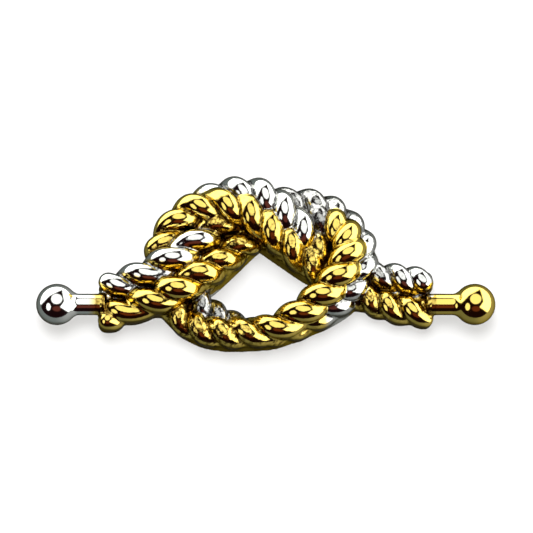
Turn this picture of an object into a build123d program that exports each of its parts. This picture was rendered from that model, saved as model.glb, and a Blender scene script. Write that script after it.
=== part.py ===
from build123d import *
from itertools import product
import os
import numpy as np

# A knot charm: two three-strand ropes laid side by side, tied in one overhand knot and cast in one piece,
# with a short neck and a ball at each end. The back is flat, and the ropes' walls go straight down to it.
# X runs along the charm, Y across it, and Z is up from the flat back. The line through the balls is at
# Y 0 until the end, where the charm is moved so that the middle of its width is there.
# The twisted metal is worked out as a field on an even grid: below zero in metal, above zero in air.

# Sizes of the whole charm, in millimetres
knot_length = 27.8
knot_width = 15.0
neck_length = 1.7
neck_diameter = 1.75
ball_diameter = 3.4
ball_clearance = 0.05
neck_fillet = 0.35
neck_root = 0.6

# Sizes of the rope, in millimetres
rope_diameter = 2.6
rope_swell = 0.2
strand_diameter = 1.46
lobe_bulge = 0.18
lobe_hurry = 0.55
core_diameter = 1.5
strands = 3

# Every strand goes straight down to the back, a core fills the rope between them, and a plain wall stands
# under each rope in the knot, from a depth below the rope's middle. A low web between the ropes closes the
# narrow gaps. A setback is how far a bar stays short of the knot's length. A draft is how much wider a wall
# gets for each millimetre down, or narrower where it is below nought.
strand_draft = -0.12
wall_draft = 0.16
wall_diameter = 2.1
wall_depth = 0.7
wall_setback = 5.4
web_diameter = 1.7
web_depth = 0.7
web_setback = 0.3
floor_diameter = 2.4
floor_height = 0.1

# Small gaps beside the diagonals, each closed by a low floor
# along: share of half the knot's length, across: share of the knot's width from the ball line.
floors = [(-0.435, 0.437), (0.342, 0.393)]

# Fineness of the faceted skin, in millimetres, and how far off the metal its field is worked out
facet_size = 0.46
strand_step = 0.12
skin_room = 3 * facet_size

# Routes of the two ropes. A row is one lobe of the rope, and its columns are
# along: share of half the knot's length, across: share of the knot's width from the ball line,
# level: share of the rope's diameter above the back.
silver_route = [
    (-1.21, 0.07, 0.58), (-1.06, 0.08, 0.58), (-0.90, 0.11, 0.60), (-0.73, 0.16, 0.85), (-0.56, 0.23, 1.12),
    (-0.41, 0.34, 0.96), (-0.28, 0.45, 0.69), (-0.14, 0.54, 0.46), (0.00, 0.60, 0.40), (0.16, 0.61, 0.48),
    (0.31, 0.58, 0.58), (0.43, 0.52, 0.65), (0.53, 0.41, 0.73), (0.58, 0.30, 0.77), (0.56, 0.18, 0.77),
    (0.49, 0.07, 0.69), (0.39, -0.01, 0.58), (0.25, -0.08, 0.46), (0.12, -0.13, 0.40), (-0.02, -0.15, 0.38),
    (-0.16, -0.12, 0.38), (-0.28, -0.07, 0.40), (-0.38, 0.01, 0.38), (-0.47, 0.10, 0.37), (-0.52, 0.21, 0.37),
    (-0.55, 0.31, 0.38), (-0.55, 0.41, 0.42), (-0.51, 0.50, 0.48), (-0.43, 0.58, 0.56), (-0.29, 0.63, 0.69),
    (-0.14, 0.64, 0.92), (-0.00, 0.60, 1.08), (0.11, 0.51, 1.12), (0.22, 0.40, 0.96), (0.31, 0.31, 0.69),
    (0.42, 0.24, 0.46), (0.55, 0.19, 0.40), (0.68, 0.17, 0.48), (0.81, 0.15, 0.56), (0.93, 0.13, 0.58),
    (1.06, 0.13, 0.58), (1.20, 0.13, 0.58),
]
gold_route = [
    (-1.34, -0.16, 0.42), (-1.18, -0.12, 0.42), (-0.97, -0.08, 0.42), (-0.87, -0.03, 0.50), (-0.68, 0.01, 0.88),
    (-0.53, 0.06, 1.12), (-0.39, 0.15, 1.00), (-0.27, 0.24, 0.77), (-0.15, 0.34, 0.54), (-0.04, 0.43, 0.40),
    (0.08, 0.49, 0.38), (0.21, 0.52, 0.50), (0.33, 0.49, 0.73), (0.43, 0.43, 0.96), (0.49, 0.35, 1.12),
    (0.49, 0.25, 1.19), (0.43, 0.13, 1.19), (0.33, 0.03, 1.08), (0.21, -0.06, 0.92), (0.05, -0.14, 0.73),
    (-0.12, -0.16, 0.63), (-0.26, -0.16, 0.60), (-0.40, -0.13, 0.50), (-0.52, -0.05, 0.40), (-0.60, 0.06, 0.37),
    (-0.64, 0.16, 0.38), (-0.65, 0.26, 0.50), (-0.62, 0.35, 0.65), (-0.53, 0.48, 0.81), (-0.40, 0.55, 0.96),
    (-0.23, 0.55, 1.10), (-0.09, 0.50, 1.13), (0.03, 0.41, 1.08), (0.15, 0.32, 0.92), (0.27, 0.23, 0.69),
    (0.39, 0.16, 0.46), (0.51, 0.09, 0.40), (0.62, 0.04, 0.40), (0.73, 0.00, 0.44), (0.87, -0.03, 0.46),
    (1.02, -0.04, 0.46), (1.17, -0.05, 0.46),
]

ball_radius = ball_diameter / 2
neck_radius = neck_diameter / 2
strand_radius = strand_diameter / 2
lay_radius = rope_diameter / 2 - strand_radius
axis_height = ball_radius + ball_clearance
ball_place = knot_length / 2 + neck_length + ball_radius


def rope_line(route):
    """Places along a rope's middle, even in the lobe count, and the lobe count at each"""
    knots = np.array(route) * (knot_length / 2, knot_width, rope_diameter)
    lobe = np.arange(1, len(knots) - 2, strand_step / (rope_diameter * 2))
    first = lobe.astype(int)
    part = (lobe - first)[:, None]
    before, start, end, after = (knots[first + offset] for offset in (-1, 0, 1, 2))
    bend = 2 * before - 5 * start + 4 * end - after
    swing = 3 * (start - end) + after - before
    return start + part / 2 * (end - before + part * (bend + part * swing)), lobe


def fullness(middle):
    """How thick the rope is along its middle: fuller where it rides high, thinner where it dives under"""
    return 1 + rope_swell * (middle[:, 2] - axis_height) / rope_diameter


def strand_bar(middle, lobe, number):
    """The middle of one strand, which winds round the rope once for every few lobes, and its radius"""
    ahead = np.gradient(middle, axis=0)
    ahead /= np.linalg.norm(ahead, axis=1)[:, None]
    left = np.cross((0, 0, 1), ahead)
    left /= np.linalg.norm(left, axis=1)[:, None]
    above = np.cross(ahead, left)
    turn = 2 * np.pi * (lobe + number) / strands
    turn = (turn + lobe_hurry * np.sin(turn))[:, None]
    fuller = fullness(middle)
    line = middle + lay_radius * fuller[:, None] * (np.cos(turn) * above - np.sin(turn) * left)
    return line, strand_radius * fuller * (1 + lobe_bulge * np.cos(turn[:, 0]))


def within_knot(line, radius, setback=0):
    """The stretch of a bar whose rounded end stays inside the knot's length, and its radius there"""
    inside = np.abs(line[:, 0]) <= knot_length / 2 - radius - setback
    return line[inside], radius[inside]


middles, bars = [], []
for route in (silver_route, gold_route):
    middle, lobe = rope_line(route)
    middles.append(middle)
    for number in range(strands):
        bars.append((*within_knot(*strand_bar(middle, lobe, number)), strand_draft))
    wall = middle - (0, 0, wall_depth)
    bars.append((*within_knot(middle, core_diameter / 2 * fullness(middle), web_setback), 0))
    bars.append((*within_knot(wall, wall_diameter / 2 * fullness(middle), wall_setback), wall_draft))
web = np.mean(middles, axis=0) - (0, 0, web_depth)
bars.append((*within_knot(web, np.full(len(web), web_diameter / 2), web_setback), wall_draft))
for along, across in floors:
    floor = np.array([[along * knot_length / 2, across * knot_width, floor_height]])
    bars.append((floor, [floor_diameter / 2], wall_draft))


def grid_over(lines, room):
    """The lowest corner, the size and the empty field of a grid that holds every line with room around it"""
    places = np.concatenate(lines)
    low = np.append(places.min(axis=0)[:2] - room, -1.5 * facet_size)
    cells = np.ceil((places.max(axis=0) + room - low) / facet_size).astype(int)
    return low, np.full(cells, 10 * room)


def nodes_of(low, field):
    """Where the grid's nodes are along X, Y and Z"""
    along = [low[i] + facet_size * np.arange(field.shape[i]) for i in range(3)]
    return np.meshgrid(*along, indexing="ij", sparse=True)


def block_round(low, field, place, reach):
    """The part of the grid near a place, and its nodes' offsets from that place"""
    first = np.maximum(np.floor((place - low - reach) / facet_size).astype(int), 0)
    last = np.minimum(np.ceil((place - low + reach) / facet_size).astype(int) + 1, field.shape)
    window = tuple(slice(start, end) for start, end in zip(first, last))
    along = [low[i] + facet_size * np.arange(first[i], last[i]) - place[i] for i in range(3)]
    return window, np.meshgrid(*along, indexing="ij", sparse=True)


def lay_bar(low, field, line, radii, draft):
    """Takes the field down to the distance from a round bar, with sloping walls under it down to the back"""
    for place, radius in zip(line, radii):
        wide = radius + max(draft, 0) * place[2] + skin_room
        foot = place * (1, 1, 0)
        window, (dx, dy, height) = block_round(low, field, foot, (wide, wide, place[2] + radius + skin_room))
        above = np.maximum(height - place[2], 0)
        below = np.maximum(place[2] - height, 0)
        bar = np.sqrt(dx**2 + dy**2 + above**2) - radius - draft * below
        field[window] = np.minimum(field[window], bar)


def blended(first, second, fillet):
    """Two bodies joined with a fillet between them"""
    near = np.maximum(fillet - np.abs(first - second), 0)
    return np.minimum(first, second) - near**2 / (4 * fillet)


corner_places = list(product((0, 1), repeat=3))


def at_corner(grid, place):
    """The grid's values at one corner of each of its cells"""
    return grid[tuple(slice(side, size - 1 + side) for side, size in zip(place, grid.shape))]


def share_edge(first, second):
    """Whether two corners of a cell are at the ends of one edge"""
    return sum(x != y for x, y in zip(first, second)) == 1


def hangs_together(group):
    """Whether some corners of a cell are all joined along the cell's edges"""
    found = set(group[:1])
    for _ in group:
        found |= {a for a in group for b in found if share_edge(a, b)}
    return len(found) == len(group)


def splits_cell(metal):
    """Whether a cell's metal corners, or its air corners, fall into two groups that the surface would pinch"""
    groups = [[place for place, solid in zip(corner_places, metal) if solid == wanted] for wanted in (0, 1)]
    return not all(hangs_together(group) for group in groups)


def without_pinches(field):
    """The field with just enough metal added that the surface pinches nowhere"""
    split = np.array([splits_cell([code >> bit & 1 for bit in range(8)]) for code in range(256)])
    while True:
        values = np.stack([at_corner(field, place) for place in corner_places])
        pinched = split[sum((value < 0) * 2**bit for bit, value in enumerate(values))]
        if not pinched.any():
            return field
        nearest_air = np.where(values < 0, np.inf, values).argmin(axis=0)
        for bit, place in enumerate(corner_places):
            at_corner(field, place)[pinched & (nearest_air == bit)] = -facet_size / 10


def without_voids(field):
    """The field with metal in every pocket of air that the outside can't reach"""
    air = field >= 0
    outside = np.zeros_like(air)
    outside[0] = air[0]
    reached = 0
    while reached < outside.sum():
        reached = outside.sum()
        for axis in range(3):
            for turned in (1, -1):
                grid = np.moveaxis(outside, axis, 0)[::turned]
                grid[1:] |= grid[:-1]
                outside &= air
    return np.where(air & ~outside, -facet_size / 10, field)


def skin_of(low, field):
    """Corners and four-sided facets of the surface where the field is zero"""
    total = np.zeros([size - 1 for size in field.shape] + [3])
    count = np.zeros(total.shape[:3])
    edges = [(a, b) for a, b in product(corner_places, repeat=2) if a < b and share_edge(a, b)]
    for first, second in edges:
        start, end = at_corner(field, first), at_corner(field, second)
        crossed = (start < 0) != (end < 0)
        share = np.clip(start / np.where(crossed, start - end, 1), 0.05, 0.95) * crossed
        total += crossed[..., None] * np.array(first) + share[..., None] * np.subtract(second, first)
        count += crossed
    cells = np.argwhere(count)
    number = np.zeros(count.shape, int)
    number[tuple(cells.T)] = np.arange(len(cells))
    corners = low + facet_size * (cells + total[tuple(cells.T)] / count[tuple(cells.T)][:, None])
    facets = []
    for axis in range(3):
        metal = np.moveaxis(field, (axis, (axis + 1) % 3, (axis + 2) % 3), (0, 1, 2))[:, 1:-1, 1:-1] < 0
        turned = np.moveaxis(number, (axis, (axis + 1) % 3, (axis + 2) % 3), (0, 1, 2))
        sides = turned[:, :-1, :-1], turned[:, 1:, :-1], turned[:, 1:, 1:], turned[:, :-1, 1:]
        ring = np.stack(sides, axis=-1)
        facets.append(ring[metal[:-1] & ~metal[1:]])
        facets.append(ring[~metal[:-1] & metal[1:]][:, ::-1])
    return corners, np.concatenate(facets)


def flat_back(corners, facets):
    """Which facets lie flat on the back, leaving out those that only touch another one at a corner"""
    flat = np.all(corners[facets][:, :, 2] == 0, axis=1)
    while True:
        rim = rim_of(facets[flat])
        starts, times = np.unique(rim[:, 0], return_counts=True)
        crowded = np.isin(facets, starts[times > 1]).any(axis=1) & flat
        if not crowded.any():
            return flat
        flat &= ~crowded


def rim_of(facets):
    """The edges, each from its start to its end, that belong to only one of some facets"""
    edges = np.concatenate([facets[:, [side, (side + 1) % 4]] for side in range(4)])
    both_ways = {(b, a) for a, b in edges.tolist()}
    return np.array([edge for edge in edges.tolist() if tuple(edge) not in both_ways]).reshape(-1, 2)


def loops_of(rim):
    """The rim's edges strung into closed loops of corner numbers"""
    onward = dict(rim.tolist())
    loops = []
    while onward:
        loop = [next(iter(onward))]
        while loop[-1] in onward:
            loop.append(onward.pop(loop[-1]))
        loops.append(loop[:-1])
    return loops


def back_face(corners, facets):
    """One flat face for the back, with the gap of the knot left out of it"""
    outlines = [[Vector(*corners[i]) for i in loop] for loop in loops_of(rim_of(facets))]
    wires = [Wire.make_polygon(outline, close=True) for outline in outlines]
    wires.sort(key=lambda wire: wire.bounding_box().diagonal, reverse=True)
    return Face(wires[0], wires[1:])


def facet_faces(corners, facets):
    """Two flat triangles for each four-sided facet, split across its shorter diagonal"""
    faces = []
    for facet in facets:
        a, b, c, d = (Vector(*corners[i]) for i in facet)
        halves = ((a, b, c), (a, c, d)) if (c - a).length <= (d - b).length else ((b, c, d), (b, d, a))
        for half in halves:
            faces.append(Face(Wire.make_polygon(half, close=True)))
    return faces


room = rope_diameter + ball_radius
lines = [line for line, radii, draft in bars]
low, metal = grid_over(lines + [np.array([[-ball_place, 0, 0], [ball_place, 0, axis_height]])], room)
for line, radii, draft in bars:
    lay_bar(low, metal, line, radii, draft)

x, y, z = nodes_of(low, metal)
off_axis = np.sqrt(y**2 + (z - axis_height) ** 2)
balls = np.sqrt((np.abs(x) - ball_place) ** 2 + off_axis**2) - ball_radius
necks = np.maximum(off_axis - neck_radius, knot_length / 2 - neck_root - np.abs(x))
necks = np.maximum(necks, np.abs(x) - ball_place)
metal = blended(metal, blended(balls, necks, neck_fillet), neck_fillet)
metal = np.maximum(without_voids(without_pinches(metal)), -z)

corners, facets = skin_of(low, metal)
corners[np.abs(corners[:, 2]) < facet_size / 20, 2] = 0
middle = (corners.max(axis=0) + corners.min(axis=0)) / 2
corners -= middle * (1, 1, 0)

# The solid
flat = flat_back(corners, facets)
faces = facet_faces(corners, facets[~flat]) + [back_face(corners, facets[flat])]
charm = Solid(Shell(faces))

os.makedirs("parts", exist_ok=True)
export_step(charm, "parts/knot_charm.step")
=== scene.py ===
import bpy
import math
from itertools import product
import numpy as np
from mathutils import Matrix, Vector


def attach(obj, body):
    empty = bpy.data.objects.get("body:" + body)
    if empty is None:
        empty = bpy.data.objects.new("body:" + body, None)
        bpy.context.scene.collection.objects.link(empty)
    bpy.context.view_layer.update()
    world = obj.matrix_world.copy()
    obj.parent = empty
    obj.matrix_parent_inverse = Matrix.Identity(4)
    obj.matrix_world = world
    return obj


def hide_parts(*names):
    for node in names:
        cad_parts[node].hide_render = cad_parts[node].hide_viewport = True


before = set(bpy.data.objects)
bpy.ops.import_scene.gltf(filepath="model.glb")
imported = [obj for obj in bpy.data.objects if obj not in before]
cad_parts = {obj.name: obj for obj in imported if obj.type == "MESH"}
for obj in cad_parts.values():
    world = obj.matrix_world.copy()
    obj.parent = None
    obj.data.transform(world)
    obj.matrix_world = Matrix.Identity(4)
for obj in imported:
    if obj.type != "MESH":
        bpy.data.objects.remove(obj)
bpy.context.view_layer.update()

# The two ropes
# Cast raised in the metal: each is three strands laid up right-handed, polished on their crowns. The first
# is silver-toned where it shows most, the second is gold nearly all along. Sizes are in millimetres.
knot_length = 27.8
knot_width = 15.0
rope_diameter = 2.6
rope_swell = 0.2
strand_diameter = 1.46
lobe_bulge = 0.18
lobe_hurry = 0.55
core_diameter = 1.5
strands = 3
lobe_length = 1.3 * rope_diameter
strand_step = 0.04
ball_diameter = 3.4
ball_clearance = 0.05
neck_length = 1.7

# One row per lobe: along, a share of half the knot's length; across, a share of the knot's width from the
# line of the balls; and level, a share of the rope's diameter above the back.
silver_route = [
    (-1.21, 0.07, 0.58), (-1.06, 0.08, 0.58), (-0.90, 0.11, 0.60), (-0.73, 0.16, 0.85),
    (-0.56, 0.23, 1.12), (-0.41, 0.34, 0.96), (-0.28, 0.45, 0.69), (-0.14, 0.54, 0.46),
    (0.00, 0.60, 0.40), (0.16, 0.61, 0.48), (0.31, 0.58, 0.58), (0.43, 0.52, 0.65),
    (0.53, 0.41, 0.73), (0.58, 0.30, 0.77), (0.56, 0.18, 0.77), (0.49, 0.07, 0.69),
    (0.39, -0.01, 0.58), (0.25, -0.08, 0.46), (0.12, -0.13, 0.40), (-0.02, -0.15, 0.38),
    (-0.16, -0.12, 0.38), (-0.28, -0.07, 0.40), (-0.38, 0.01, 0.38), (-0.47, 0.10, 0.37),
    (-0.52, 0.21, 0.37), (-0.55, 0.31, 0.38), (-0.55, 0.41, 0.42), (-0.51, 0.50, 0.48),
    (-0.43, 0.58, 0.56), (-0.29, 0.63, 0.69), (-0.14, 0.64, 0.92), (0.00, 0.60, 1.08),
    (0.11, 0.51, 1.12), (0.22, 0.40, 0.96), (0.31, 0.31, 0.69), (0.42, 0.24, 0.46),
    (0.55, 0.19, 0.40), (0.68, 0.17, 0.48), (0.81, 0.15, 0.56), (0.93, 0.13, 0.58),
    (1.06, 0.13, 0.58), (1.20, 0.13, 0.58),
]
gold_route = [
    (-1.34, -0.16, 0.42), (-1.18, -0.12, 0.42), (-0.97, -0.08, 0.42), (-0.87, -0.03, 0.50),
    (-0.68, 0.01, 0.88), (-0.53, 0.06, 1.12), (-0.39, 0.15, 1.00), (-0.27, 0.24, 0.77),
    (-0.15, 0.34, 0.54), (-0.04, 0.43, 0.40), (0.08, 0.49, 0.38), (0.21, 0.52, 0.50),
    (0.33, 0.49, 0.73), (0.43, 0.43, 0.96), (0.49, 0.35, 1.12), (0.49, 0.25, 1.19),
    (0.43, 0.13, 1.19), (0.33, 0.03, 1.08), (0.21, -0.06, 0.92), (0.05, -0.14, 0.73),
    (-0.12, -0.16, 0.63), (-0.26, -0.16, 0.60), (-0.40, -0.13, 0.50), (-0.52, -0.05, 0.40),
    (-0.60, 0.06, 0.37), (-0.64, 0.16, 0.38), (-0.65, 0.26, 0.50), (-0.62, 0.35, 0.65),
    (-0.53, 0.48, 0.81), (-0.40, 0.55, 0.96), (-0.23, 0.55, 1.10), (-0.09, 0.50, 1.13),
    (0.03, 0.41, 1.08), (0.15, 0.32, 0.92), (0.27, 0.23, 0.69), (0.39, 0.16, 0.46),
    (0.51, 0.09, 0.40), (0.62, 0.04, 0.40), (0.73, 0.00, 0.44), (0.87, -0.03, 0.46),
    (1.02, -0.04, 0.46), (1.17, -0.05, 0.46),
]
ball_radius = ball_diameter / 2
axis_height = ball_radius + ball_clearance
strand_radius = strand_diameter / 2
lay_radius = rope_diameter / 2 - strand_radius


def rope_line(route):
    """Places along a rope's middle, even in the lobe count, and the lobe count at each"""
    knots = np.array(route) * (knot_length / 2, knot_width, rope_diameter)
    lobe = np.arange(1, len(knots) - 2, strand_step / lobe_length)
    first = lobe.astype(int)
    part = (lobe - first)[:, None]
    before, start, end, after = (knots[first + offset] for offset in (-1, 0, 1, 2))
    bend = 2 * before - 5 * start + 4 * end - after
    swing = 3 * (start - end) + after - before
    return start + part / 2 * (end - before + part * (bend + part * swing)), lobe


def fullness(middle):
    """How thick the rope is along its middle: fuller where it rides high, thinner where it dives under"""
    return 1 + rope_swell * (middle[:, 2] - axis_height) / rope_diameter


def strand_bar(middle, lobe, number):
    """The middle of one strand, its radius and its lobe count, as far as the rope's rounded end"""
    ahead = np.gradient(middle, axis=0)
    ahead /= np.linalg.norm(ahead, axis=1)[:, None]
    left = np.cross((0, 0, 1), ahead)
    left /= np.linalg.norm(left, axis=1)[:, None]
    above = np.cross(ahead, left)
    turn = 2 * np.pi * (lobe + number) / strands
    turn = (turn + lobe_hurry * np.sin(turn))[:, None]
    fuller = fullness(middle)
    line = middle + lay_radius * fuller[:, None] * (np.cos(turn) * above - np.sin(turn) * left)
    radius = strand_radius * fuller * (1 + lobe_bulge * np.cos(turn[:, 0]))
    inside = np.abs(line[:, 0]) <= knot_length / 2 - radius
    return line[inside], radius[inside], lobe[inside]


# The casting's field
# The whole charm is one pour of metal, so it is worked out as one field on an even grid of nodes:
# below zero in metal, above zero in air. Neighbouring strands meet in a small cast fillet.
facet_size = 0.12
node_size = facet_size / 2
groove_fillet = 0.05
reach = 0.36
middles = [rope_line(route) for route in (silver_route, gold_route)]
bars = [(rope, *strand_bar(*middles[rope], number)) for rope in (0, 1) for number in range(strands)]
room_round = 2.4
room_below = 0.5
ball_place = knot_length / 2 + neck_length + ball_radius
places = np.concatenate([line for rope, line, radius, lobe in bars])
low = np.array([-ball_place, places[:, 1].min(), 0]) - (room_round, room_round, room_below)
high = np.array([ball_place, places[:, 1].max(), places[:, 2].max()]) + room_round
low = np.floor(low / facet_size) * facet_size - facet_size / 2
cells = 2 * np.ceil((high - low) / facet_size).astype(int) + 1
nodes = [low[axis] + node_size * np.arange(cells[axis]) for axis in range(3)]


def block_round(place, extent):
    """The part of the grid near a place, and its nodes' offsets from that place"""
    first = np.maximum(np.floor((place - low - extent) / node_size).astype(int), 0)
    last = np.minimum(np.ceil((place - low + extent) / node_size).astype(int) + 1, cells)
    window = tuple(slice(start, end) for start, end in zip(first, last))
    offsets = [nodes[axis][window[axis]] - place[axis] for axis in range(3)]
    return window, np.meshgrid(*[offset.astype(np.float32) for offset in offsets], indexing="ij", sparse=True)


# The walls and the flat back
# Every strand goes down to a flat back, and under each rope in the knot stands a plain wall that gets wider
# towards the back. A low web between the ropes and two low floors close the small gaps, and only the large
# gap in the knot goes right through.
strand_draft = -0.12
wall_draft = 0.16
wall_diameter = 2.1
wall_depth = 0.7
wall_setback = 5.4
web_diameter = 1.7
web_depth = 0.7
web_setback = 0.3
floor_diameter = 2.4
floor_height = 0.1
floors = [(-0.435, 0.437), (0.342, 0.393)]
wall_stride = 3


def drafted_bar(line, radii, draft):
    """How far each node is from a round bar along a line, with drafted walls under it down to the back"""
    field = np.full(cells, reach, np.float32)
    for place, radius in zip(line, radii):
        wide = radius + max(draft, 0) * place[2] + reach
        window, (dx, dy, height) = block_round(place * (1, 1, 0), (wide, wide, place[2] + radius + reach))
        above = np.maximum(height - np.float32(place[2]), 0)
        below = np.maximum(np.float32(place[2]) - height, 0)
        wall = np.sqrt(dx**2 + dy**2 + above**2) - np.float32(radius) - draft * below
        field[window] = np.minimum(field[window], wall)
    return field


melted = np.zeros(cells, np.float32)
for rope, line, radius, lobe in bars:
    melted += np.exp(-drafted_bar(line, radius, strand_draft) / groove_fillet)
web = np.mean([middle for middle, lobe in middles], axis=0) - (0, 0, web_depth)
plain = [(web, np.full(len(web), web_diameter / 2), wall_draft, web_setback)]
for middle, lobe in middles:
    sunk = middle - (0, 0, wall_depth)
    plain.append((middle, core_diameter / 2 * fullness(middle), 0, web_setback))
    plain.append((sunk, wall_diameter / 2 * fullness(middle), wall_draft, wall_setback))
for line, radii, draft, setback in plain:
    inside = np.abs(line[:, 0]) <= knot_length / 2 - radii - setback
    bar = drafted_bar(line[inside][::wall_stride], radii[inside][::wall_stride], draft)
    melted += np.exp(-bar / groove_fillet)
for along, across in floors:
    floor = np.array([[along * knot_length / 2, across * knot_width, floor_height]])
    melted += np.exp(-drafted_bar(floor, [floor_diameter / 2], wall_draft) / groove_fillet)
metal = -groove_fillet * np.log(melted)
del melted

# The necks and the balls
# A round pin runs out of the end of each pair of ropes to a ball, for a snap socket or a cord loop.
# They are cast with the rest, and the pin is filleted to the ball.
neck_diameter = 1.75
neck_fillet = 0.35
neck_root = 0.6


def blended(first, second, fillet):
    """Two bodies joined with a fillet between them"""
    near = np.maximum(fillet - np.abs(first - second), 0)
    return np.minimum(first, second) - near**2 / (4 * fillet)


x, y, z = np.meshgrid(*[along.astype(np.float32) for along in nodes], indexing="ij", sparse=True)
off_axis = np.sqrt(y**2 + (z - axis_height) ** 2)
balls = np.sqrt((np.abs(x) - ball_place) ** 2 + off_axis**2) - ball_radius
necks = np.maximum(off_axis - neck_diameter / 2, knot_length / 2 - neck_root - np.abs(x))
necks = np.maximum(necks, np.abs(x) - ball_place)
metal = blended(metal, blended(balls, necks, neck_fillet), neck_fillet)
del balls, necks
metal = np.maximum(metal, -z)


# The skin of the casting
# The surface is taken where the field is zero, one corner to each cell that the surface crosses, and each
# corner is then moved onto the surface itself, so that the polish runs smoothly over the facets.
corner_places = list(product((0, 1), repeat=3))
pocket_depth = facet_size / 10
flattest_share = 0.05
settling_rounds = 3
gentlest_slope = 0.2


def at_corner(grid, place):
    """The grid's values at one corner of each of its cells"""
    return grid[tuple(slice(side, size - 1 + side) for side, size in zip(place, grid.shape))]


def without_voids(field):
    """The field with metal in every pocket of air that the outside can't reach"""
    air = field >= 0
    outside = np.zeros_like(air)
    outside[0] = air[0]
    reached = 0
    while reached < outside.sum():
        reached = outside.sum()
        for axis in range(3):
            for turned in (1, -1):
                grid = np.moveaxis(outside, axis, 0)[::turned]
                grid[1:] |= grid[:-1]
                outside &= air
    return np.where(air & ~outside, -pocket_depth, field)


def skin_of(field):
    """Corners and four-sided facets of the surface where the field is zero"""
    total = np.zeros([size - 1 for size in field.shape] + [3], np.float32)
    count = np.zeros(total.shape[:3], np.float32)
    for first, second in product(corner_places, repeat=2):
        along = np.subtract(second, first).astype(np.float32)
        if along.min() < 0 or along.sum() != 1:
            continue
        start, end = at_corner(field, first), at_corner(field, second)
        crossed = (start < 0) != (end < 0)
        share = start / np.where(crossed, start - end, 1)
        share = np.clip(share, flattest_share, 1 - flattest_share) * crossed
        total += crossed[..., None] * np.array(first, np.float32) + share[..., None] * along
        count += crossed
    crossing = np.argwhere(count)
    here = tuple(crossing.T)
    number = np.zeros(count.shape, int)
    number[here] = np.arange(len(crossing))
    corners = low + facet_size * (crossing + total[here] / count[here][:, None])
    facets = []
    for axis in range(3):
        order = (axis, (axis + 1) % 3, (axis + 2) % 3)
        solid = np.moveaxis(field, order, (0, 1, 2))[:, 1:-1, 1:-1] < 0
        turned = np.moveaxis(number, order, (0, 1, 2))
        ring = (turned[:, :-1, :-1], turned[:, 1:, :-1], turned[:, 1:, 1:], turned[:, :-1, 1:])
        ring = np.stack(ring, axis=-1)
        facets.append(ring[solid[:-1] & ~solid[1:]])
        facets.append(ring[~solid[:-1] & solid[1:]][:, ::-1])
    return corners, np.concatenate(facets)


def sample(spots):
    """The field's value and its slope at some spots, between the nodes of the fine grid"""
    steps = (spots - low) / node_size
    first = np.clip(np.floor(steps).astype(int), 0, np.array(metal.shape) - 2)
    part = (steps - first).astype(np.float32)
    value = np.zeros(len(spots))
    slope = np.zeros((len(spots), 3))
    for place in corner_places:
        near = metal[tuple((first + place).T)]
        shares = np.where(place, part, 1 - part)
        value += near * shares.prod(axis=1)
        for axis in range(3):
            others = [other for other in range(3) if other != axis]
            slope[:, axis] += near * shares[:, others].prod(axis=1) * (1 if place[axis] else -1) / node_size
    return value, slope


corners, facets = skin_of(without_voids(metal[::2, ::2, ::2]))
for _ in range(settling_rounds):
    value, slope = sample(corners)
    step = value[:, None] * slope / np.maximum((slope**2).sum(axis=1), gentlest_slope)[:, None]
    corners -= np.clip(step, -node_size / 2, node_size / 2)
corners[corners[:, 2] < node_size / 4, 2] = 0
box_middle = (corners.max(axis=0) + corners.min(axis=0)) / 2
shift = box_middle * (1, 1, 0)

mesh = bpy.data.meshes.new("charm_casting")
mesh.from_pydata(((corners - shift) / 1000).tolist(), [], facets.tolist())
mesh.shade_smooth()
casting = bpy.data.objects.new("charm_casting", mesh)
bpy.context.scene.collection.objects.link(casting)
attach(casting, "root")
casting.visible_diffuse = False
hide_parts("knot_charm")

# The plating
# The casting is polished where the wheel reaches it, and keeps the crumpled skin of the mould in between. It
# is plated gold all over, and then silver-toned by brush along parts of the ropes, down to their flanks.

# One row where the tone changes: lobe, counted along the rope; silver, how much of it is silver-toned; flank,
# how far down, from 1 on the side that faces the brush to -1 on the far side; and shine, left by the wheel.
silver_rope_tones = [
    (1, 1.0, 0.45, 1.0), (5.2, 1.0, 0.45, 0.9), (5.8, 0.0, 0.5, 0.3), (6, 0.0, 0.5, 0.1),
    (7.6, 0.0, 0.0, 0.0), (8, 1.0, -1.2, 0.1), (10, 1.0, -1.2, 0.3), (13, 1.0, -1.2, 0.7),
    (16.2, 1.0, -1.2, 0.8), (16.8, 0.0, 0.0, 0.7), (19.4, 0.0, 0.0, 0.3), (20, 1.0, -1.0, 0.1),
    (22, 1.0, -1.0, 0.1), (22.6, 0.0, 0.0, 0.2), (28.2, 0.0, 0.0, 0.6), (29, 1.0, -0.5, 0.9),
    (31, 1.0, 0.1, 1.0), (33, 1.0, 0.4, 0.9), (34, 0.2, 0.5, 0.3), (36, 0.0, 0.5, 0.1),
    (37, 0.9, 0.5, 0.3), (38, 1.0, 0.4, 0.8), (41, 1.0, 0.4, 0.9),
]
gold_rope_tones = [
    (1, 0.0, 0.0, 1.0), (6, 0.0, 0.0, 0.9), (7, 0.0, 0.0, 0.6), (8, 0.0, 0.0, 0.0),
    (9.9, 0.0, 0.0, 0.0), (10.4, 1.0, -1.2, 0.1), (12.3, 1.0, -1.2, 0.1), (12.8, 0.0, 0.0, 0.7),
    (14, 0.0, 0.0, 1.0), (19, 0.0, 0.0, 0.9), (20, 0.0, 0.0, 0.5), (21, 0.0, 0.0, 0.2),
    (25, 0.0, 0.0, 0.3), (28, 0.0, 0.0, 1.0), (31, 0.0, 0.0, 0.8), (33, 0.0, 0.0, 0.6),
    (34, 0.0, 0.0, 0.2), (37, 0.0, 0.0, 0.3), (39, 0.0, 0.0, 0.9), (41, 0.0, 0.0, 1.0),
]
brush_side = (0, 0.5, 0.87)
brush_softness = 0.5
polished_depth = 0.2
polished_ends = 0.3
neck_skin = 0.1
gold_root = 0.4
silver_from = 1.0
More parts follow.
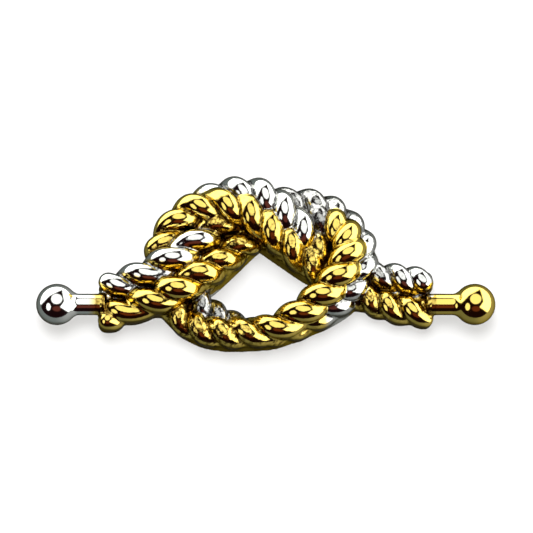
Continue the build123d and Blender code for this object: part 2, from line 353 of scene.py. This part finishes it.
neck_silver = 0.8
recess_probe = 0.3
wall_top = 1.4
wall_fade = 0.6
end_margin = 0.2
lobe_stride = 3
batch = 4000
half_knot = knot_length / 2
normals = sample(corners)[1]
normals /= np.maximum(np.linalg.norm(normals, axis=1), 0.01)[:, None]
nearest = np.full(len(corners), 9.0)
rope_at = np.zeros(len(corners), int)
lobe_at = np.zeros(len(corners))
for rope, line, radius, lobe in bars:
    line, radius, lobe = line[::lobe_stride].astype(np.float32), radius[::lobe_stride], lobe[::lobe_stride]
    for start in range(0, len(corners), batch):
        part = slice(start, start + batch)
        apart = np.linalg.norm(corners[part, None].astype(np.float32) - line, axis=2) - radius
        best = apart.argmin(axis=1)
        gap = apart[np.arange(len(best)), best]
        closer = gap < nearest[part]
        nearest[part][closer] = gap[closer]
        rope_at[part][closer] = rope
        lobe_at[part][closer] = lobe[best][closer]
silvered = np.zeros(len(corners))
polished = np.zeros(len(corners))
for rope, tones in enumerate((silver_rope_tones, gold_rope_tones)):
    lobe, silver, flank, shine = np.array(tones).T
    brushed = (normals @ brush_side - np.interp(lobe_at, lobe, flank)) / brush_softness + 0.5
    here = rope_at == rope
    silvered[here] = (np.interp(lobe_at, lobe, silver) * np.clip(brushed, 0, 1))[here]
    polished[here] = np.interp(lobe_at, lobe, shine)[here]
polished *= np.clip(1.2 - nearest / polished_depth, 0, 1)
along, across, level = corners.T
polished[np.abs(along) > half_knot - polished_ends] = 1

# The left ball and most of its neck are silver-toned, and the neck's root and the right ball are gold.
on_left_neck = np.hypot(across, level - axis_height) < neck_diameter / 2 + neck_skin
on_left_neck &= along < gold_root - half_knot
left_side = on_left_neck | (along < -half_knot)
fading = np.interp(along, (-half_knot - silver_from, -half_knot + gold_root), (neck_silver, 0))
silvered[left_side] = fading[left_side]
silvered[along > half_knot] = 0

# Recesses keep the crumpled skin of the mould and get a painted shade. The plain low walls are smooth and get
# a painted shade.
# Painted shade: openness is how far the field grows a short way out along the normal, so it is low in
# recesses where shade falls.
openness = np.clip(sample(corners + recess_probe * normals)[0] / recess_probe, 0, 1)
in_knot = np.abs(along) < half_knot + end_margin
# The low steep walls of the knot are polished smooth and carry a painted shade on the gold.
on_wall = np.clip((wall_top - level) / wall_fade, 0, 1) * np.clip(1.6 - 2 * np.abs(normals[:, 2]), 0, 1)
recess_painted_shade_and_skin = np.clip(1.2 - 1.5 * openness, 0, 1) * (1 - on_wall) * in_knot


def paint(name, values):
    """Keeps one number per corner on the mesh, for its material to read"""
    mesh.attributes.new(name, "FLOAT", "POINT").data.foreach_set("value", np.asarray(values, np.float32))


paint("silver", silvered)
paint("wall", on_wall * in_knot)
paint("polish", np.maximum(polished, on_wall))
paint("recess_shade_and_skin", recess_painted_shade_and_skin)


class Wire:
    """A socket of a shader, written in sums and products as a number is"""

    def __init__(self, tree, socket=None):
        self.tree = tree
        self.socket = socket

    def node(self, kind, settings, sockets, out=0):
        """Any node: its settings go in first, then the values or links of its sockets"""
        made = self.tree.nodes.new(kind)
        for name, value in settings.items():
            setattr(made, name, value)
        for name, value in sockets.items():
            if isinstance(value, Wire):
                self.tree.links.new(value.socket, made.inputs[name])
            else:
                made.inputs[name].default_value = value
        return Wire(self.tree, made.outputs[out] if made.outputs else None)

    def sum_of(self, operation, *values):
        return self.node("ShaderNodeMath", {"operation": operation}, dict(enumerate(values)))

    def __add__(self, other):
        return self.sum_of("ADD", self, other)

    def __sub__(self, other):
        return self.sum_of("SUBTRACT", self, other)

    def __rsub__(self, other):
        return self.sum_of("SUBTRACT", other, self)

    def __mul__(self, other):
        return self.sum_of("MULTIPLY", self, other)

    def __truediv__(self, other):
        return self.sum_of("DIVIDE", self, other)

    def __pow__(self, other):
        return self.sum_of("POWER", self, other)

    __radd__ = __add__
    __rmul__ = __mul__

    def larger(self, other):
        return self.sum_of("MAXIMUM", self, other)

    def between(self, low, high):
        """Nought below one value, one above another, and smooth in between"""
        sockets = {"Value": self, "From Min": low, "From Max": high}
        return self.node("ShaderNodeMapRange", {"interpolation_type": "SMOOTHSTEP"}, sockets)

    def mixed(self, first, second):
        """A colour between two others, by this socket's value"""
        return self.node("ShaderNodeMix", {"data_type": "RGBA"}, {"Factor": self, 6: first, 7: second}, out=2)


# The crown colours are the lit metal; the deep colours are the same metal in painted shade, in the recesses,
# on the low walls and on the unpolished cast skin.
gold_crown = (0.95, 0.71, 0.165, 1)
gold_painted_shade = (0.17, 0.095, 0.013, 1)
silver_crown = (0.88, 0.90, 0.88, 1)
silver_painted_shade = (0.15, 0.15, 0.15, 1)
silver_as_cast = (0.4, 0.4, 0.39, 1)

plating = bpy.data.materials.new("two_tone_plating")
plating.use_nodes = True
plating.node_tree.nodes.clear()
new = Wire(plating.node_tree)
silver_tone, recess_shade_and_skin, polish, wall = (
    new.node("ShaderNodeAttribute", {"attribute_name": name}, {}, out=2)
    for name in ("silver", "recess_shade_and_skin", "polish", "wall")
)
spot = new.node("ShaderNodeTexCoord", {}, {}, out=3)
cast_skin = new.node("ShaderNodeTexNoise", {}, {"Vector": spot, "Scale": 2600.0, "Detail": 2.0})
grain = new.node("ShaderNodeTexNoise", {}, {"Vector": spot, "Scale": 3400.0, "Detail": 1.0})
brushing = new.node("ShaderNodeTexNoise", {}, {"Vector": spot, "Scale": 900.0, "Detail": 3.0})
tone = (silver_tone + (brushing - 0.5) * 0.35).between(0.25, 0.75)
as_cast = 1 - polish
specks = (grain - 0.5) * 2.5
# Painted shade, darkest deep in the recesses, with random specks, plus a darker unpolished cast skin.
painted_shade_and_skin = recess_shade_and_skin * (1.3 + specks) + as_cast * (0.2 + specks)
# The low walls get an extra painted shade, on the gold only.
gold = (painted_shade_and_skin + wall * 0.42).between(0.05, 0.78).mixed(gold_crown, gold_painted_shade)
white = painted_shade_and_skin.between(0.05, 0.85).mixed(as_cast.mixed(silver_crown, silver_as_cast), silver_painted_shade)
roughness = 0.06 + recess_shade_and_skin * 0.05 + as_cast * 0.04 + brushing * 0.04
rough_skin = cast_skin * (0.05 + recess_shade_and_skin * 0.8 + as_cast)
bump = new.node("ShaderNodeBump", {}, {"Strength": 1.0, "Distance": 0.00005, "Height": rough_skin})
polished_edge = (0.35, 0.33, 0.28, 1)
shader = new.node(
    "ShaderNodeBsdfPrincipled", {},
    {
        "Base Color": tone.mixed(gold, white), "Metallic": 1.0, "Roughness": roughness,
        "Specular Tint": polished_edge, "Normal": bump,
    },
)
new.node("ShaderNodeOutputMaterial", {}, {"Surface": shader})
mesh.materials.append(plating)

# The table
# A plain pale sheet under the charm. The tent's bench below it is what the polished metal shows instead, so
# the sheet isn't seen in the metal.
half = 0.6
table = bpy.data.objects.new("table", bpy.data.meshes.new("table"))
table_corners = [(-half, -half, 0), (half, -half, 0), (half, half, 0), (-half, half, 0)]
table.data.from_pydata(table_corners, [], [(0, 1, 2, 3)])
bpy.context.scene.collection.objects.link(table)
sheet = bpy.data.materials.new("pale_sheet")
sheet.use_nodes = True
sheet_shader = sheet.node_tree.nodes["Principled BSDF"]
sheet_shader.inputs["Base Color"].default_value = (0.72, 0.72, 0.73, 1)
sheet_shader.inputs["Roughness"].default_value = 0.9
table.data.materials.append(sheet)
table.visible_glossy = False

# The light tent
# White cloth round and over the charm, with an unlit front and top where the camera stands, a large lamp
# and a small one in it, and a grey bench below. A polished ball in the tent shows all of it, so each thing in
# it is placed by where that ball shows it: right and up from the ball's middle, in shares of its radius.
sky = bpy.data.worlds.new("light_tent")
bpy.context.scene.world = sky
sky.use_nodes = True
sky.node_tree.nodes.clear()
new = Wire(sky.node_tree)
camera_elevation = 72
steep = math.radians(camera_elevation)
back_way = Vector((0, -math.cos(steep), math.sin(steep)))
up_way = Vector((0, math.sin(steep), math.cos(steep)))
way = new.node("ShaderNodeTexCoord", {}, {}, out=0)
halfway = way.node("ShaderNodeVectorMath", {"operation": "ADD"}, {0: way, 1: back_way})
ball_side = way.node("ShaderNodeVectorMath", {"operation": "NORMALIZE"}, {0: halfway})
right = way.node("ShaderNodeVectorMath", {"operation": "DOT_PRODUCT"}, {0: ball_side, 1: (1, 0, 0)}, out=1)
up = way.node("ShaderNodeVectorMath", {"operation": "DOT_PRODUCT"}, {0: ball_side, 1: up_way}, out=1)
height = way.node("ShaderNodeSeparateXYZ", {}, {"Vector": way}, out=2)
east = way.node("ShaderNodeSeparateXYZ", {}, {"Vector": way}, out=0)


def left_of(start, end, soft=0.05):
    """One to the left of a line from one place on the ball to another, and nought to the right of it"""
    run, rise = end[0] - start[0], end[1] - start[1]
    length = math.hypot(run, rise)
    return ((up - start[1]) * (run / length) - (right - start[0]) * (rise / length)).between(-soft, soft)


def oval(middle, half_width, half_height, soft=0.15):
    """One in an oval on the ball, nought outside it"""
    away = ((right - middle[0]) / half_width) ** 2 + ((up - middle[1]) / half_height) ** 2
    return 1 - away.between(1 - soft, 1 + soft)


cloth = (2.7, 2.7, 2.6, 1)
unlit = (0.009, 0.0025, 0.003, 1)
warm_dark = (0.12, 0.03, 0.02, 1)
lamp = (1.3, 1.3, 1.25, 1)
bench_left = (0.17, 0.19, 0.18, 1)
bench_right = (0.38, 0.38, 0.37, 1)
bench_painted_shadow = (0.09, 0.09, 0.08, 1)
top_left, shoulder, apex = (-0.80, -0.06), (-0.30, 0.46), (0.27, 0.74)
elbow, waist, foot = (0.40, 0.15), (0.22, -0.12), (0.64, -0.40)
under_cloth = left_of(apex, shoulder) * left_of(shoulder, top_left)
overhead = under_cloth * left_of(elbow, apex)
overhead = overhead * left_of(waist, elbow).larger((up - elbow[1]).between(0, 0.01))
front = under_cloth * left_of(foot, waist)
light = overhead.larger(front).mixed(cloth, unlit)
light = oval((0.03, -0.20), 0.20, 0.13, 0.5).mixed(light, warm_dark)
light = oval((0.02, 0.27), 0.27, 0.25).mixed(light, lamp)
light = oval((-0.37, -0.11), 0.11, 0.18).mixed(light, lamp)
# The bench is brighter to the right. Seen steeply downward and not far to the right, it is darkened by a
# painted shadow of the charm.
bench = east.between(-0.2, 0.9).mixed(bench_left, bench_right)
near = height.between(-0.55, -0.95) * east.between(0.35, 0.0)
bench = near.mixed(bench, bench_painted_shadow)
light = height.between(-0.16, -0.11).mixed(bench, light)
back = new.node("ShaderNodeBackground", {}, {"Color": light, "Strength": 1.0})
new.node("ShaderNodeOutputWorld", {}, {"Surface": back})

# The soft lamp
# It hangs over the table and lights the sheet, where it gives the charm its soft shadow. The metal doesn't
# show it.
soft_lamp = bpy.data.objects.new("soft_lamp", bpy.data.lights.new("soft_lamp", "AREA"))
bpy.context.scene.collection.objects.link(soft_lamp)
soft_lamp.data.size = 0.25
soft_lamp.data.energy = 0.9
soft_lamp.location = (-0.02, 0.12, 0.3)
soft_lamp.rotation_mode = "QUATERNION"
soft_lamp.rotation_quaternion = (-soft_lamp.location).to_track_quat("-Z", "Y")
soft_lamp.visible_glossy = False

# The camera
# A long lens looks down at the charm from the front, at the height of the balls.
millimetres_per_pixel = 0.0828
picture_pixels = 533
lens = 200
sensor = 36
up_screen = 3.14
right_screen = 0.06
view_width = millimetres_per_pixel * picture_pixels
distance = view_width / sensor * lens
camera = bpy.data.objects.new("camera", bpy.data.cameras.new("camera"))
bpy.context.scene.collection.objects.link(camera)
bpy.context.scene.camera = camera
camera.data.lens = lens
camera.data.sensor_width = sensor
camera.data.clip_start = 0.01
camera.data.clip_end = 5
aim = Vector((right_screen, -box_middle[1], axis_height)) + up_screen * up_way
camera.location = (aim + distance * back_way) / 1000
camera.rotation_mode = "QUATERNION"
camera.rotation_quaternion = (-back_way).to_track_quat("-Z", "Y")

scene = bpy.context.scene
scene.view_settings.view_transform = "Standard"
scene.view_settings.look = "None"
scene.view_settings.exposure = 0.0
